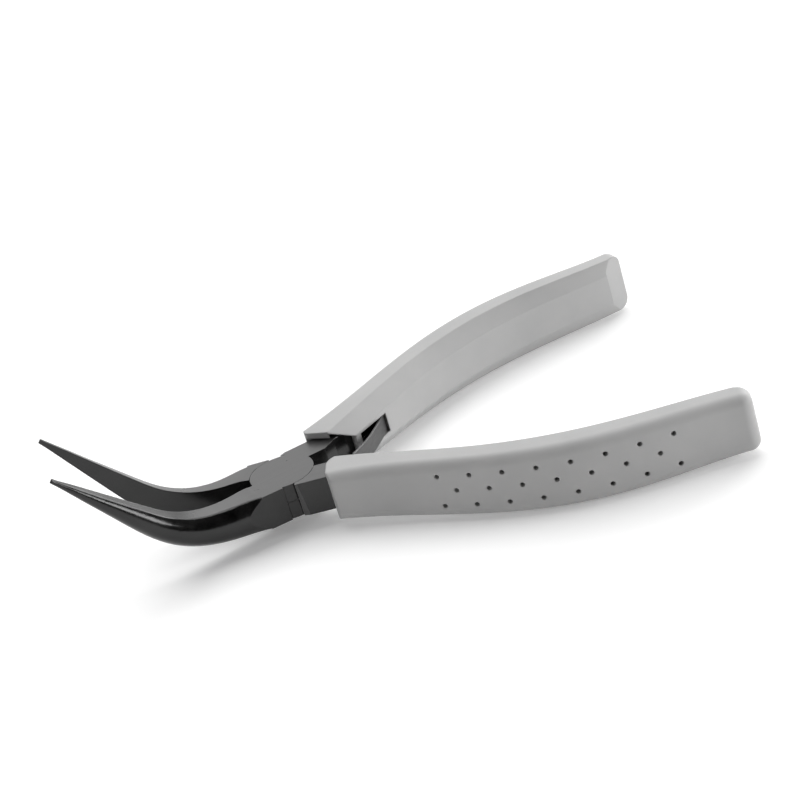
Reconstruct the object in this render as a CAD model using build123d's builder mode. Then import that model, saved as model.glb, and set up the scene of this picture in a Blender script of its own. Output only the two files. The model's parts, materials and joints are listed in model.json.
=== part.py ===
from build123d import *
from math import atan2, cos, degrees, radians, sin, sqrt, tan
import os

# Bent needle nose pliers for electronics work, lying flat with the handles sprung open.
# Lengths are in millimetres. Each half is drawn in its own frame: origin on the pivot axis at
# mid-thickness, local +X towards the handle end, local +Y towards the half's own handle,
# and local +Z towards the half's own pivot disc. Half B is half A turned over about X,
# except that both noses bend up towards the row's +Z.

# Placing: the row's origin is the middle of the bounding box, on the surface it rests on.
PIVOT_X = -23.86
PIVOT_Z = 7.43
OPEN_HALF_ANGLE = 12.4

# Lap joint
JOINT_HALF = 4.07
DISC_R = 7.3
SHOULDER_R = 7.45
LAP_GAP = 0.04
JAW_GAP = 0.02
BLOCK_SIDE = 6.95
BLOCK_FRONT = 8.05
BLOCK_END = 3.0
BLOCK_END_SIDE = 7.2
RIVET_R = 2.5
RIVET_HEAD_R = 3.5
RIVET_HEAD_DEPTH = 1.0
RIVET_CLEARANCE = 0.05

# Nose: the top edge runs level, then turns up through an arc to a straight slope.
BEND_START = 15.5
BEND_RADIUS = 21.3
BEND_ANGLE = 42.5
# reach of the top edge, height of the flat, top width, belly width, heel width,
# fall of the top across its width
NOSE_STATIONS = [
    (8.0, 8.14, 6.95, 7.6, 6.95, 0.0),
    (13.0, 8.14, 4.85, 6.65, 5.0, 0.25),
    (17.5, 8.0, 3.75, 5.6, 3.6, 0.4),
    (22.3, 7.55, 3.15, 4.95, 2.6, 0.6),
    (27.0, 6.6, 2.7, 4.35, 2.1, 0.65),
    (31.5, 5.55, 2.25, 3.7, 1.7, 0.6),
    (36.0, 4.35, 1.8, 3.0, 1.35, 0.5),
    (40.5, 3.1, 1.35, 2.3, 1.0, 0.4),
    (44.5, 1.95, 0.9, 1.6, 0.7, 0.25),
    (48.2, 1.0, 0.5, 0.9, 0.4, 0.1),
]
NOSE_BELLY_RISE = 0.52
NOSE_HEEL_RISE = 0.02
NOSE_EDGE_FILLET = 0.14

# Handle shank inside the grip
SHANK_SIDE = 7.7
SHANK_FRONT = 2.95
SHANK_STEP = [(0, 6), (SHANK_FRONT, 6), (SHANK_FRONT, SHANK_SIDE), (12, SHANK_SIDE)]
SHANK_ROOT = [(14.6, 3.0), (11.5, 1.1), (0, 1.1)]
SHANK_OUTER = [(12, SHANK_SIDE), (20, 11.0), (30, 15.2), (45, 20.8), (60, 24.3), (75, 25.0), (88, 24.2)]
SHANK_INNER = [(88, 20.8), (75, 20.9), (60, 19.6), (45, 15.6), (30, 9.6), (20, 5.1), (14.6, 3.0)]
# ground facet on the shank's front corner, narrow at the shoulder's face and wide at the disc's
SHANK_FACET_NARROW = [(2.6, 7.5), (4.2, 7.88), (2.6, 8.4)]
SHANK_FACET_WIDE = [(2.6, 7.1), (4.8, 7.85), (2.6, 8.4)]
SHANK_SLOT = [(21.4, 4.0), (21.4, 8.6), (30.4, 12.6), (30.4, 7.8)]

# Grip: x, inner flat y, ridge y, outer y, inner flat half height, half height
GRIP_STATIONS = [
    (8, -2.2, 1.2, 10.6, 2.4, 5.7),
    (25, 4.9, 8.6, 15.6, 3.2, 6.6),
    (42.5, 12.6, 16.2, 22.6, 3.8, 7.1),
    (60, 17.6, 20.8, 27.2, 4.0, 7.4),
    (80, 19.0, 21.3, 27.3, 3.9, 7.3),
    (102.35, 18.6, 19.6, 25.2, 3.4, 6.75),
]
GRIP_FILLET = 2.4
GRIP_CROWN = 0.3
GRIP_END_FILLET = 2.4
GRIP_END_BEVEL = [(97.2, 17.0), (97.2, 18.75), (104.0, 21.75), (104.0, 17.0)]

# Grip mouth, in plan: the roof side is slanted, the floor side square with a round corner
WALL_EDGE = [(11.05, 18.0), (11.05, 10.9), (10.35, 9.2)]
ROOF_CORNER = (10.1, 8.2)
ROOF_CORNER_R = 1.5
FLOOR_CORNER = (10.8, 3.4)
FLOOR_CORNER_R = 2.8
ROOF_RIDGE = (14.1, 3.3)
FLOOR_RIDGE = (13.4, 2.9)
WALL_FRONT = 19.8
BELOW_WALL = [(WALL_FRONT, -2.8), (WALL_FRONT, -8)]
NOTCH_DEPTH_Y = 4.9
NOTCH = [(14.1, 5.7), (WALL_FRONT, 2.7), (WALL_FRONT, -2.7), (14.1, -5.7)]
MOUTH_GAP = 0.5
MOUTH = [(6, SHANK_SIDE + MOUTH_GAP), (13, SHANK_SIDE + MOUTH_GAP), (16.5, 9.4), (16.5, 2.4), (6, -4)]

# Window in the grip's inner wall, with a shallow seat in front of it where the closed leaf lies,
# and the leaf spring on its cross pin behind it
WINDOW = [(21.4, -2), (21.4, 8), (29.5, 9.6), (29.5, -2)]
LEAF_SEAT = [(19.0, -2), (19.0, 2.75), (21.5, 3.8), (21.5, -2)]
SLOT_HALF = 2.35
PIN = (28.4, 8.1)
PIN_R = 0.45
PIN_HALF = 3.6
PIN_CLEARANCE = 0.05
LEAF_THICKNESS = 0.45
LEAF_HALF = 2.0
LEAF_PATH = [(28.95, 7.63), (26.3, 4.85), (22.6, 1.2), (19.6, -1.05), (16.05, -3.15)]

# Small holes in the grip's outer side: height, count and shift in pitches of each row
HOLE_R = 0.55
HOLE_DEPTH = 1.6
HOLE_PITCH = 7.4
HOLE_ROWS = [(3.7, 8, 0.0), (-0.1, 7, 0.5), (-3.6, 8, 0.0)]
HOLE_START = 27.75

# Cutting tools run this far past the surface they open
OVERRUN = 1.0
GRIP_TOOL_HALF = 9.0


def half_frame(side):
    """The frame of half A (side 1) or half B (side -1) in the open rest pose."""
    angle = radians(OPEN_HALF_ANGLE) * side
    return Plane(
        origin=(PIVOT_X, 0, PIVOT_Z),
        x_dir=(cos(angle), sin(angle), 0),
        z_dir=(0, 0, side),
    )


FRAME_A = half_frame(1)
FRAME_B = half_frame(-1)


def direction(frame, x, y, z):
    """A direction given in a half's frame, turned into the row's frame."""
    return frame.from_local_coords((x, y, z)) - frame.origin


def plan_outline(points):
    """A closed outline through the given points."""
    with BuildSketch() as outline:
        with BuildLine():
            Polyline(*points, close=True)
        make_face()
    return outline.sketch


def nose_top(reach):
    """Height and slope angle of the nose's top edge at a reach from the pivot axis."""
    run = reach - BEND_START
    arc_run = BEND_RADIUS * sin(radians(BEND_ANGLE))
    if run <= 0:
        return JOINT_HALF, 0.0
    if run <= arc_run:
        drop = sqrt(BEND_RADIUS**2 - run**2)
        return JOINT_HALF + BEND_RADIUS - drop, degrees(atan2(run, drop))
    arc_rise = BEND_RADIUS * (1 - cos(radians(BEND_ANGLE)))
    return JOINT_HALF + arc_rise + (run - arc_run) * tan(radians(BEND_ANGLE)), BEND_ANGLE


def nose_plane(frame, bend, reach, height):
    """The plane of a nose section: origin at the flat's lower edge, X outward, Y up the flat."""
    top_z, slope = nose_top(reach)
    up_x = sin(radians(slope))
    up_z = cos(radians(slope))
    foot = (-reach - height * up_x, -JAW_GAP, bend * (top_z - height * up_z))
    return Plane(
        origin=frame.from_local_coords(foot),
        x_dir=direction(frame, 0, -1, 0),
        z_dir=direction(frame, -bend * up_z, 0, up_x),
    )


def nose_section(frame, bend, reach, height, top_width, belly_width, heel_width, fall):
    """Nose section: flat mating face, narrow sloping top, rounded outer side."""
    shoulder = (top_width, height - fall)
    belly = (belly_width, height * NOSE_BELLY_RISE)
    heel = (heel_width, height * NOSE_HEEL_RISE)
    with BuildSketch(nose_plane(frame, bend, reach, height)) as section:
        with BuildLine():
            Polyline(heel, (0, 0), (0, height), shoulder)
            ThreePointArc(shoulder, belly, heel)
        make_face()
        fillet(section.vertices().sort_by_distance(shoulder)[0], radius=height * NOSE_EDGE_FILLET)
    return section.sketch


def shank_outline():
    """Plan outline of the handle shank, from the pivot to its end inside the grip."""
    with BuildSketch() as outline:
        with BuildLine():
            Polyline(*SHANK_STEP)
            Spline(SHANK_OUTER)
            Line(SHANK_OUTER[-1], SHANK_INNER[0])
            Spline(SHANK_INNER)
            Polyline(*SHANK_ROOT, SHANK_STEP[0])
        make_face()
    return outline.sketch


def build_half(frame, bend):
    """One steel half: nose, joint block, pivot disc and shank. bend is the nose's local Z sense."""
    sections = [nose_section(frame, bend, *station) for station in NOSE_STATIONS]
    floor_plane = frame.offset(-JOINT_HALF)
    block_side = [(-BLOCK_FRONT, -BLOCK_SIDE), (-BLOCK_END, -BLOCK_END_SIDE)]
    block = [(0, -JAW_GAP), (-BLOCK_FRONT, -JAW_GAP), *block_side, (-BLOCK_END, -6), (0, -6)]
    beside_block = [(-20, -BLOCK_SIDE), *block_side, (-BLOCK_END, -12), (-20, -12)]
    with BuildPart() as half:
        with BuildSketch(floor_plane):
            add(plan_outline(block))
            add(shank_outline())
        extrude(amount=2 * JOINT_HALF)
        # the other half's disc turns in this shoulder
        with BuildSketch(floor_plane):
            Circle(SHOULDER_R)
        extrude(amount=JOINT_HALF + LAP_GAP, mode=Mode.SUBTRACT)
        with BuildSketch(frame.offset(LAP_GAP)):
            Circle(DISC_R)
        extrude(amount=JOINT_HALF - LAP_GAP)
        loft(sections)
        # the block's side is ground flat where the nose bulges past it
        with BuildSketch(frame.offset(-JOINT_HALF - OVERRUN)):
            add(plan_outline(beside_block))
        extrude(amount=2 * (JOINT_HALF + OVERRUN), mode=Mode.SUBTRACT)
        with BuildSketch(frame.offset(-JOINT_HALF)):
            add(plan_outline(SHANK_FACET_NARROW))
        with BuildSketch(frame.offset(JOINT_HALF)):
            add(plan_outline(SHANK_FACET_WIDE))
        loft(mode=Mode.SUBTRACT)
        # slot behind the grip's window
        with BuildSketch(frame.offset(-SLOT_HALF)):
            add(plan_outline(SHANK_SLOT))
        extrude(amount=2 * SLOT_HALF, mode=Mode.SUBTRACT)
    return half


def drill_rivet_hole(half, clearance, countersink):
    """Cut the rivet's hole, with the countersink for its head where the head sits."""
    with BuildPart() as drilled:
        add(half.part)
        with BuildSketch(FRAME_A.offset(-JOINT_HALF)):
            Circle(RIVET_R + clearance)
        extrude(amount=2 * JOINT_HALF, mode=Mode.SUBTRACT)
        if countersink:
            with BuildSketch(FRAME_A.offset(-JOINT_HALF)):
                Circle(RIVET_HEAD_R + clearance)
            with BuildSketch(FRAME_A.offset(-JOINT_HALF + RIVET_HEAD_DEPTH)):
                Circle(RIVET_R + clearance)
            loft(mode=Mode.SUBTRACT)
    return drilled


def grip_section(frame, x, inner, ridge, outer, flat_half, half):
    """Grip section: bevelled inner side with a flat, rounded and slightly crowned outer side."""
    across = Plane(
        origin=frame.from_local_coords((x, 0, 0)), x_dir=frame.y_dir, z_dir=frame.x_dir
    )
    with BuildSketch(across) as section:
        with BuildLine():
            Polyline(
                (outer, half), (ridge, half), (inner, flat_half),
                (inner, -flat_half), (ridge, -half), (outer, -half),
            )
            ThreePointArc((outer, -half), (outer + GRIP_CROWN, 0), (outer, half))
        make_face()
        fillet(section.vertices().group_by(Axis.X)[-1], radius=GRIP_FILLET)
    return section.sketch


def front_cut(corner, radius, ridge):
    """Outline of what is cut off the grip's front on one side, with a rounded outer corner."""
    with BuildSketch() as outline:
        with BuildLine():
            Polyline((4, -8), (4, 18), *WALL_EDGE, corner, ridge, *BELOW_WALL, close=True)
        make_face()
        fillet(outline.vertices().sort_by_distance(corner)[0], radius=radius)
    return outline.sketch


def hole_planes(frame):
    """Planes just outside the grip's outer side, one for each small hole, facing outward."""
    with BuildLine(mode=Mode.PRIVATE) as outer_line:
        Spline([(station[0], station[3]) for station in GRIP_STATIONS])
    edge = outer_line.edge()
    planes = []
    for height, count, shift in HOLE_ROWS:
        for i in range(count):
            length = HOLE_START + (i + shift) * HOLE_PITCH
            point = edge.position_at(length, position_mode=PositionMode.LENGTH)
            along = edge.tangent_at(length, position_mode=PositionMode.LENGTH)
            surface = Plane(
                origin=frame.from_local_coords((point.X, point.Y, height)),
                x_dir=frame.z_dir,
                z_dir=direction(frame, -along.Y, along.X, 0),
            )
            planes.append(surface.offset(OVERRUN))
    return planes


def build_grip(frame):
    """Moulded grip over a shank: slanted mouth, spring window and rows of small holes."""
    sections = [grip_section(frame, *station) for station in GRIP_STATIONS]
    end_point = frame.from_local_coords((130, 22, 0))
    inner_wall = Plane(
        origin=frame.from_local_coords((0, NOTCH_DEPTH_Y, 0)), x_dir=frame.x_dir, z_dir=-frame.y_dir
    )
    with BuildPart() as grip:
        loft(sections)
        end_edges = grip.faces().sort_by_distance(end_point)[0].edges()
        fillet(end_edges, radius=GRIP_END_FILLET)
        with BuildSketch(frame.offset(-GRIP_TOOL_HALF)):
            add(plan_outline(GRIP_END_BEVEL))
        extrude(amount=2 * GRIP_TOOL_HALF, mode=Mode.SUBTRACT)
        with BuildSketch(frame):
            add(front_cut(ROOF_CORNER, ROOF_CORNER_R, ROOF_RIDGE))
        extrude(amount=GRIP_TOOL_HALF, mode=Mode.SUBTRACT)
        with BuildSketch(frame):
            add(front_cut(FLOOR_CORNER, FLOOR_CORNER_R, FLOOR_RIDGE))
        extrude(amount=-GRIP_TOOL_HALF, mode=Mode.SUBTRACT)
        # the inner wall stops short of the roof and floor
        with BuildSketch(inner_wall):
            add(plan_outline(NOTCH))
        extrude(amount=12, mode=Mode.SUBTRACT)
        # pocket for the shank, with room round it at the mouth
        with BuildSketch(frame.offset(-JOINT_HALF)):
            add(shank_outline())
        extrude(amount=2 * JOINT_HALF, mode=Mode.SUBTRACT)
        with BuildSketch(frame.offset(-JOINT_HALF - MOUTH_GAP)):
            add(plan_outline(MOUTH))
        extrude(amount=2 * (JOINT_HALF + MOUTH_GAP), mode=Mode.SUBTRACT)
        with BuildSketch(frame.offset(-SLOT_HALF)):
            add(plan_outline(WINDOW))
            add(plan_outline(LEAF_SEAT))
        extrude(amount=2 * SLOT_HALF, mode=Mode.SUBTRACT)
        # bore for the spring's cross pin
        with BuildSketch(frame.offset(-PIN_HALF)):
            with Locations(PIN):
                Circle(PIN_R)
        extrude(amount=2 * PIN_HALF, mode=Mode.SUBTRACT)
        with BuildSketch(*hole_planes(frame)):
            Circle(HOLE_R)
        extrude(amount=-HOLE_DEPTH - OVERRUN, mode=Mode.SUBTRACT)
    return grip


def build_leaf(frame):
    """Leaf spring: an eye on the cross pin and a blade that leaves through the grip's window."""
    bore = PIN_R + PIN_CLEARANCE
    with BuildLine(mode=Mode.PRIVATE) as blade:
        Spline(LEAF_PATH)
    with BuildPart() as leaf:
        with BuildSketch(frame.offset(-LEAF_HALF)):
            trace(blade.edges(), LEAF_THICKNESS)
            with Locations(PIN):
                Circle(bore + LEAF_THICKNESS)
                Circle(bore, mode=Mode.SUBTRACT)
        extrude(amount=2 * LEAF_HALF)
    return leaf


def build_pin(frame):
    """Cross pin that holds the leaf spring's eye in the grip's window."""
    with BuildPart() as pin:
        with BuildSketch(frame.offset(-PIN_HALF)):
            with Locations(PIN):
                Circle(PIN_R)
        extrude(amount=2 * PIN_HALF)
    return pin


def build_rivet():
    """Pivot rivet, flush at both faces, with its countersunk head under half B."""
    with BuildPart() as rivet:
        with BuildSketch(FRAME_A.offset(-JOINT_HALF)):
            Circle(RIVET_R)
        extrude(amount=2 * JOINT_HALF)
        with BuildSketch(FRAME_A.offset(-JOINT_HALF)):
            Circle(RIVET_HEAD_R)
        with BuildSketch(FRAME_A.offset(-JOINT_HALF + RIVET_HEAD_DEPTH)):
            Circle(RIVET_R)
        loft()
    return rivet


if __name__ == "__main__":
    os.makedirs("parts", exist_ok=True)
    half_a = drill_rivet_hole(build_half(FRAME_A, 1), 0, False)
    half_a.part.label = "half_a"
    export_step(half_a.part, "parts/half_a.step")
    half_b = drill_rivet_hole(build_half(FRAME_B, -1), RIVET_CLEARANCE, True)
    half_b.part.label = "half_b"
    export_step(half_b.part, "parts/half_b.step")
    rivet = build_rivet()
    rivet.part.label = "pivot_rivet"
    export_step(rivet.part, "parts/pivot_rivet.step")
    for name, frame in (("a", FRAME_A), ("b", FRAME_B)):
        grip = build_grip(frame)
        grip.part.label = "grip_" + name
        export_step(grip.part, "parts/grip_" + name + ".step")
        leaf = build_leaf(frame)
        leaf.part.label = "leaf_spring_" + name
        export_step(leaf.part, "parts/leaf_spring_" + name + ".step")
        pin = build_pin(frame)
        pin.part.label = "spring_pin_" + name
        export_step(pin.part, "parts/spring_pin_" + name + ".step")
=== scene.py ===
import json
from math import radians

import bpy
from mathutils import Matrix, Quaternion, Vector


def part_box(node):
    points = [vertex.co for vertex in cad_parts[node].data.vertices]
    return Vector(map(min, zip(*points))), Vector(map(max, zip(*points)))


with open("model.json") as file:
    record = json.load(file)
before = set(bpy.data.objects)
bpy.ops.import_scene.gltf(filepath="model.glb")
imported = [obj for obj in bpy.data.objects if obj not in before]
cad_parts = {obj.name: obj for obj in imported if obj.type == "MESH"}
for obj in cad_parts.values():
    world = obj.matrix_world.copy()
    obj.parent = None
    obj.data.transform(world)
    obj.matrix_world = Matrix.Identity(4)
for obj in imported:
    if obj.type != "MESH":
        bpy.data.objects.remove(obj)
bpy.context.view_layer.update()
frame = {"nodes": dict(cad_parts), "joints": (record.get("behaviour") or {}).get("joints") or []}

# Looks for the bent needle nose pliers: nine CAD pieces, each with a procedural finish, on a pale
# studio floor. Lengths are in metres and angles in degrees.

MM = 0.001
NODES = frame["nodes"]
PIVOT = next(joint for joint in frame["joints"] if joint["name"] == "pivot")
# at rest each half is turned off the middle line by half of the travel that shuts the jaws
OPEN_HALF_ANGLE = PIVOT["range_deg"][1] / 2
RIVET_LOW, RIVET_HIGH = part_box("pivot_rivet")
# edges this near the pivot axis are the rivet's, which is ground flush
RIVET_CLEAR = (RIVET_HIGH.x - RIVET_LOW.x) / 2 + 0.7 * MM

# directions in the pieces' own axes
UNDERSIDE = (0, 0, -1)
SHANK_SIDE_A = (-0.52, 0.85, 0)
SHANK_SIDE_B = (-0.52, -0.85, 0)

# ranges for remapping: nearly all of a noise texture's values lie in NOISE_SPAN
NOISE_SPAN = (0.3, 0.7)
WHOLE = (0.0, 1.0)

# floor, room and lights
FLOOR_REACH = 3.0
FLOOR_DROP = 0.5 * MM
ROOM_GLOW = 0.01
LIGHT_AIM = Vector((0.0, 0.01, 0.01))
LIGHTS = [
    # name, place, width and height, watts
    ("overhead", (0.05, 0.7, 1.6), (2.4, 2.0), 34),
    ("back_wall", (0.0, 1.6, 0.75), (2.8, 1.6), 18),
    ("right_side", (1.25, -0.5, 0.3), (0.8, 0.6), 13),
    ("right_back", (1.3, 0.95, 0.5), (0.9, 0.9), 11),
    ("left_front", (-1.1, -0.8, 0.9), (0.9, 0.9), 5),
]

# camera, at the photograph's viewing angle
CAMERA_PLACE = Vector((-0.05389, -0.48172, 0.25551))
CAMERA_AIM = Vector((0.00864, 0.02195, 0.00725))
CAMERA_ROLL = -16.9
SENSOR_WIDTH = 36
FOCAL_LENGTH = 110.34
CLIP_START = 10 * MM


# ---------------------------------------------------------------- material helpers
class Shader:
    """A node material under construction: short calls that add a node and link its inputs."""

    def __init__(self, name):
        self.material = bpy.data.materials.new(name)
        self.material.use_nodes = True
        self.tree = self.material.node_tree
        self.tree.nodes.clear()
        self.surface = self.add("BsdfPrincipled")
        self.link(self.surface.outputs["BSDF"], self.add("OutputMaterial").inputs["Surface"])
        coordinates = self.add("TexCoord")
        self.place = coordinates.outputs["Object"]
        self.own_normal = coordinates.outputs["Normal"]

    def add(self, kind):
        return self.tree.nodes.new("ShaderNode" + kind)

    def link(self, source, socket):
        """Links a socket, or sets the value where source is a plain number or colour."""
        if isinstance(source, bpy.types.NodeSocket):
            self.tree.links.new(source, socket)
        else:
            socket.default_value = source

    def set(self, **sockets):
        """Sets or links inputs of the Principled shader; underscores stand for spaces."""
        for name, value in sockets.items():
            self.link(value, self.surface.inputs[name.replace("_", " ")])

    def math(self, operation, a, b):
        node = self.add("Math")
        node.operation = operation
        self.link(a, node.inputs[0])
        self.link(b, node.inputs[1])
        return node.outputs["Value"]

    def vector_math(self, operation, a, b, result="Vector"):
        node = self.add("VectorMath")
        node.operation = operation
        self.link(a, node.inputs[0])
        self.link(b, node.inputs[1])
        return node.outputs[result]

    def mix(self, factor, a, b):
        """Colour or vector a where the factor is 0, and b where it is 1."""
        node = self.add("Mix")
        node.data_type = "RGBA"
        self.link(factor, node.inputs["Factor"])
        self.link(a, node.inputs["A"])
        self.link(b, node.inputs["B"])
        return node.outputs["Result"]

    def remap(self, value, span, result):
        """A value that runs over span, stretched to run over result and held within it."""
        node = self.add("MapRange")
        node.clamp = True
        self.link(value, node.inputs["Value"])
        node.inputs["From Min"].default_value, node.inputs["From Max"].default_value = span
        node.inputs["To Min"].default_value, node.inputs["To Max"].default_value = result
        return node.outputs["Result"]

    def noise(self, vector, scale, detail, roughness):
        node = self.add("TexNoise")
        self.link(vector, node.inputs["Vector"])
        node.inputs["Scale"].default_value = scale
        node.inputs["Detail"].default_value = detail
        node.inputs["Roughness"].default_value = roughness
        return node.outputs["Fac"]

    def drawn_lines(self, scale, detail, roughness, angle=0.0):
        """Noise with its own scale along each axis, which draws lines along the smallest one.

        The axes are turned about Z by angle.
        """
        turned = self.add("VectorRotate")
        turned.rotation_type = "Z_AXIS"
        turned.inputs["Angle"].default_value = radians(-angle)
        self.link(self.place, turned.inputs["Vector"])
        stretched = self.add("Mapping")
        stretched.vector_type = "POINT"
        self.link(turned.outputs["Vector"], stretched.inputs["Vector"])
        stretched.inputs["Scale"].default_value = scale
        return self.noise(stretched.outputs["Vector"], 1, detail, roughness)

    def soft_edges(self, radius, sharp_near_axis=0.0):
        """Normal rounded over sharp edges, and a mask that is 1 on those edges.

        Edges nearer than sharp_near_axis to the pivot axis stay sharp and unworn.
        """
        bevel = self.add("Bevel")
        bevel.samples = 6
        bevel.inputs["Radius"].default_value = radius
        rounded = bevel.outputs["Normal"]
        flat = self.add("NewGeometry").outputs["Normal"]
        agreement = self.vector_math("DOT_PRODUCT", rounded, flat, "Value")
        mask = self.remap(agreement, (0.99, 0.86), WHOLE)
        if not sharp_near_axis:
            return rounded, mask
        offset = self.vector_math("SUBTRACT", self.place, PIVOT["pos_m"])
        across = self.vector_math("MULTIPLY", offset, (1, 1, 0))
        distance = self.vector_math("DISTANCE", across, (0, 0, 0), "Value")
        clear = self.math("GREATER_THAN", distance, sharp_near_axis)
        return self.mix(clear, flat, rounded), self.math("MULTIPLY", mask, clear)

    def upward(self, span):
        """1 where the surface faces up in the room, 0 where it doesn't."""
        split = self.add("SeparateXYZ")
        self.link(self.add("NewGeometry").outputs["Normal"], split.inputs["Vector"])
        return self.remap(split.outputs["Z"], span, WHOLE)

    def facing(self, direction, span):
        """1 where the surface faces a direction of the piece's own axes, 0 elsewhere."""
        agreement = self.vector_math("DOT_PRODUCT", self.own_normal, direction, "Value")
        return self.remap(agreement, span, WHOLE)

    def bump(self, height, strength, distance, normal):
        node = self.add("Bump")
        node.inputs["Strength"].default_value = strength
        node.inputs["Distance"].default_value = distance
        self.link(height, node.inputs["Height"])
        self.link(normal, node.inputs["Normal"])
        return node.outputs["Normal"]


def grey(value, warm=0.0):
    """An opaque grey, a little warmer than neutral where warm is above 0."""
    return (value * (1 + warm), value, value * (1 - warm), 1.0)


# ---------------------------------------------------------------- materials
def grip_plastic():
    """Light grey moulded plastic: fine spark-eroded texture, faint flow mottling, rubbed edges."""
    shader = Shader("grip_plastic")
    normal, edge = shader.soft_edges(0.5 * MM)
    mottle = shader.noise(shader.place, scale=60, detail=4, roughness=0.6)
    grain = shader.noise(shader.place, scale=3200, detail=2, roughness=0.5)
    colour = shader.mix(shader.remap(mottle, NOISE_SPAN, WHOLE), grey(0.375), grey(0.415, 0.004))
    rubbed = shader.math("MULTIPLY", edge, 0.35)
    shader.set(
        Base_Color=shader.mix(rubbed, colour, grey(0.50, 0.005)),
        Roughness=shader.remap(grain, NOISE_SPAN, (0.50, 0.62)),
        IOR=1.45,
        Normal=shader.bump(grain, strength=0.22, distance=0.03 * MM, normal=normal),
    )
    return shader.material


def black_steel(angle, side):
    """Blackened steel: flat faces ground to a satin grain, forged ones darker, edges worn brighter.

    The ground faces look up, down or the way that side points. Their lighter colour is partly the
    real satin grind and partly painted top light on the faces that look up in the room. The grain
    runs along the half, which lies turned by angle.
    """
    shader = Shader("black_steel")
    normal, edge = shader.soft_edges(0.22 * MM, RIVET_CLEAR)
    # painted top light: faces that look up in the room get the lighter satin colour, partly for the
    # real grind and partly for the light from above
    ground_and_top_light = shader.math("MAXIMUM", shader.upward((0.85, 0.97)), shader.facing(side, (0.975, 0.99)))
    ground_and_top_light = shader.math("MAXIMUM", ground_and_top_light, shader.facing(UNDERSIDE, (0.985, 0.998)))
    lines = shader.drawn_lines((60, 2600, 60), detail=4, roughness=0.65, angle=angle)
    patches = shader.noise(shader.place, scale=220, detail=4, roughness=0.6)
    grain = shader.noise(shader.place, scale=4200, detail=3, roughness=0.6)

    forged = shader.mix(shader.remap(patches, (0.35, 0.7), WHOLE), grey(0.0015), grey(0.010, 0.01))
    # the satin colour of the ground faces: a real grind, and on faces that look up also painted top
    # light
    satin_and_top_light = shader.mix(shader.remap(lines, NOISE_SPAN, WHOLE), grey(0.043), grey(0.055))
    wear = shader.math("MULTIPLY", edge, shader.remap(patches, (0.3, 0.6), (0.35, 0.8)))
    polish = shader.remap(ground_and_top_light, WHOLE, (0.19, 0.30))
    unevenness = shader.remap(patches, NOISE_SPAN, (-0.03, 0.03))
    ground_lines = shader.math("MULTIPLY", lines, ground_and_top_light)
    height = shader.math("ADD", ground_lines, shader.math("MULTIPLY", grain, 0.5))
    shader.set(
        Base_Color=shader.mix(wear, shader.mix(ground_and_top_light, forged, satin_and_top_light), grey(0.17)),
        Roughness=shader.math("ADD", polish, unevenness),
        IOR=1.5,
        Normal=shader.bump(height, strength=0.16, distance=0.012 * MM, normal=normal),
    )
    return shader.material


def spring_steel():
    """Rolled spring strip with a fine lengthwise grain."""
    shader = Shader("spring_steel")
    normal, edge = shader.soft_edges(0.1 * MM)
    lines = shader.drawn_lines((500, 500, 6000), detail=3, roughness=0.6)
    patches = shader.noise(shader.place, scale=300, detail=3, roughness=0.6)
    colour = shader.mix(shader.remap(lines, NOISE_SPAN, WHOLE), grey(0.085), grey(0.125))
    wear = shader.math("MULTIPLY", edge, 0.7)
    shader.set(
        Base_Color=shader.mix(wear, colour, grey(0.5)),
        Roughness=shader.remap(patches, NOISE_SPAN, (0.34, 0.46)),
        Metallic=0.85,
        Normal=shader.bump(lines, strength=0.12, distance=0.01 * MM, normal=normal),
    )
    return shader.material


def pin_steel():
    """Drawn steel pin, with fine lines along it."""
    shader = Shader("pin_steel")
    normal, edge = shader.soft_edges(0.08 * MM)
    lines = shader.drawn_lines((3000, 3000, 200), detail=3, roughness=0.6)
    colour = shader.mix(shader.remap(lines, NOISE_SPAN, WHOLE), grey(0.2), grey(0.28))
    shader.set(
        Base_Color=shader.mix(edge, colour, grey(0.4)),
        Roughness=shader.remap(lines, NOISE_SPAN, (0.30, 0.42)),
        Metallic=0.9,
        Normal=shader.bump(lines, strength=0.1, distance=0.01 * MM, normal=normal),
    )
    return shader.material


def dress(material, *nodes):
    """Gives CAD nodes their material."""
    for node in nodes:
        slots = NODES[node].data.materials
        slots.clear()
        slots.append(material)


dress(grip_plastic(), "grip_a", "grip_b")
dress(black_steel(OPEN_HALF_ANGLE, SHANK_SIDE_A), "half_a")
dress(black_steel(-OPEN_HALF_ANGLE, SHANK_SIDE_B), "half_b")
dress(black_steel(OPEN_HALF_ANGLE, UNDERSIDE), "pivot_rivet")
dress(spring_steel(), "leaf_spring_a", "leaf_spring_b")
dress(pin_steel(), "spring_pin_a", "spring_pin_b")


# ---------------------------------------------------------------- stage
def add_to_scene(name, data):
    thing = bpy.data.objects.new(name, data)
    bpy.context.scene.collection.objects.link(thing)
    return thing


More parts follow.
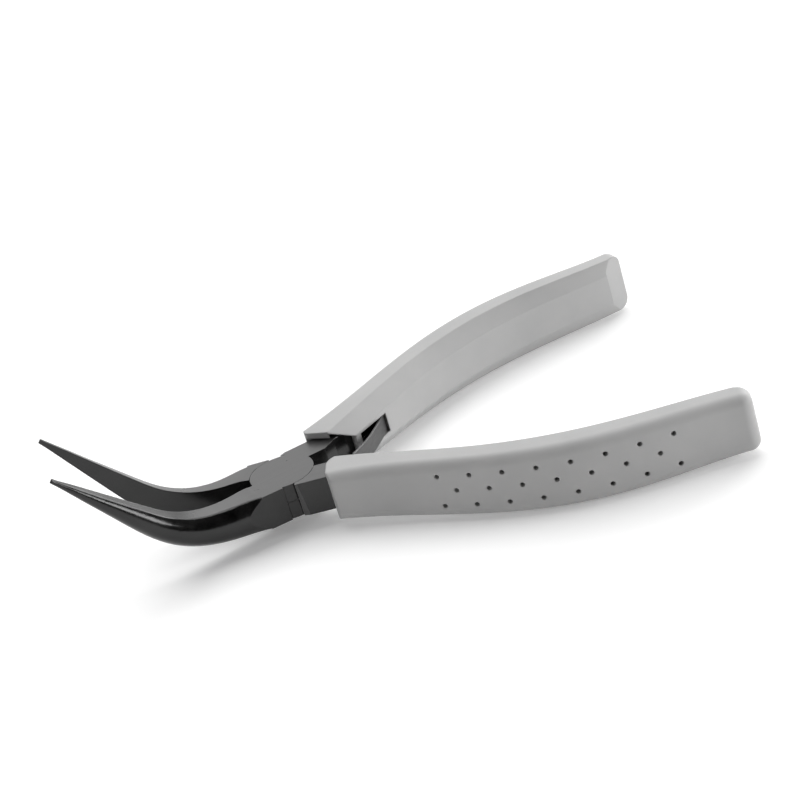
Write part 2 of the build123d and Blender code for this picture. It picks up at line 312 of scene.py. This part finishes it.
def turn_to(thing, aim, roll=0.0):
    """Points a light or camera at a place, then rolls it about its own axis."""
    level = (aim - thing.location).to_track_quat("-Z", "Y")
    thing.rotation_mode = "QUATERNION"
    thing.rotation_quaternion = level @ Quaternion((0, 0, 1), radians(roll))


def floor_material():
    """Pale floor with a little light of its own, so shadows on it stay faint."""
    shader = Shader("floor")
    mottle = shader.noise(shader.place, scale=3, detail=2, roughness=0.5)
    shader.set(
        Base_Color=shader.mix(mottle, grey(0.88), grey(0.90)),
        Roughness=0.9,
        Specular_IOR_Level=0.1,
        Emission_Color=grey(1.0),
        Emission_Strength=0.18,
    )
    return shader.material


def build_floor():
    mesh = bpy.data.meshes.new("floor")
    signs = [(-1, -1), (1, -1), (1, 1), (-1, 1)]
    corners = [(FLOOR_REACH * x, FLOOR_REACH * y, 0) for x, y in signs]
    mesh.from_pydata(corners, [], [(0, 1, 2, 3)])
    mesh.materials.append(floor_material())
    floor = add_to_scene("floor", mesh)
    floor.location.z = -FLOOR_DROP


def build_room():
    world = bpy.data.worlds.new("studio")
    world.use_nodes = True
    background = world.node_tree.nodes["Background"]
    background.inputs["Color"].default_value = grey(1.0)
    background.inputs["Strength"].default_value = ROOM_GLOW
    bpy.context.scene.world = world


def softbox(name, place, size, watts):
    """A rectangular area light that faces the pliers and isn't seen by the camera."""
    light = bpy.data.lights.new(name, "AREA")
    light.shape = "RECTANGLE"
    light.size, light.size_y = size
    light.energy = watts
    lamp = add_to_scene(name, light)
    lamp.location = place
    turn_to(lamp, LIGHT_AIM)
    lamp.visible_camera = False


def build_camera():
    optics = bpy.data.cameras.new("camera")
    optics.sensor_width = SENSOR_WIDTH
    optics.lens = FOCAL_LENGTH
    optics.clip_start = CLIP_START
    camera = add_to_scene("camera", optics)
    camera.location = CAMERA_PLACE
    turn_to(camera, CAMERA_AIM, CAMERA_ROLL)
    bpy.context.scene.camera = camera


build_floor()
build_room()
for name, place, size, watts in LIGHTS:
    softbox(name, place, size, watts)
build_camera()
# a plain tone curve, which lets the white floor reach white
bpy.context.scene.view_settings.view_transform = "Standard"
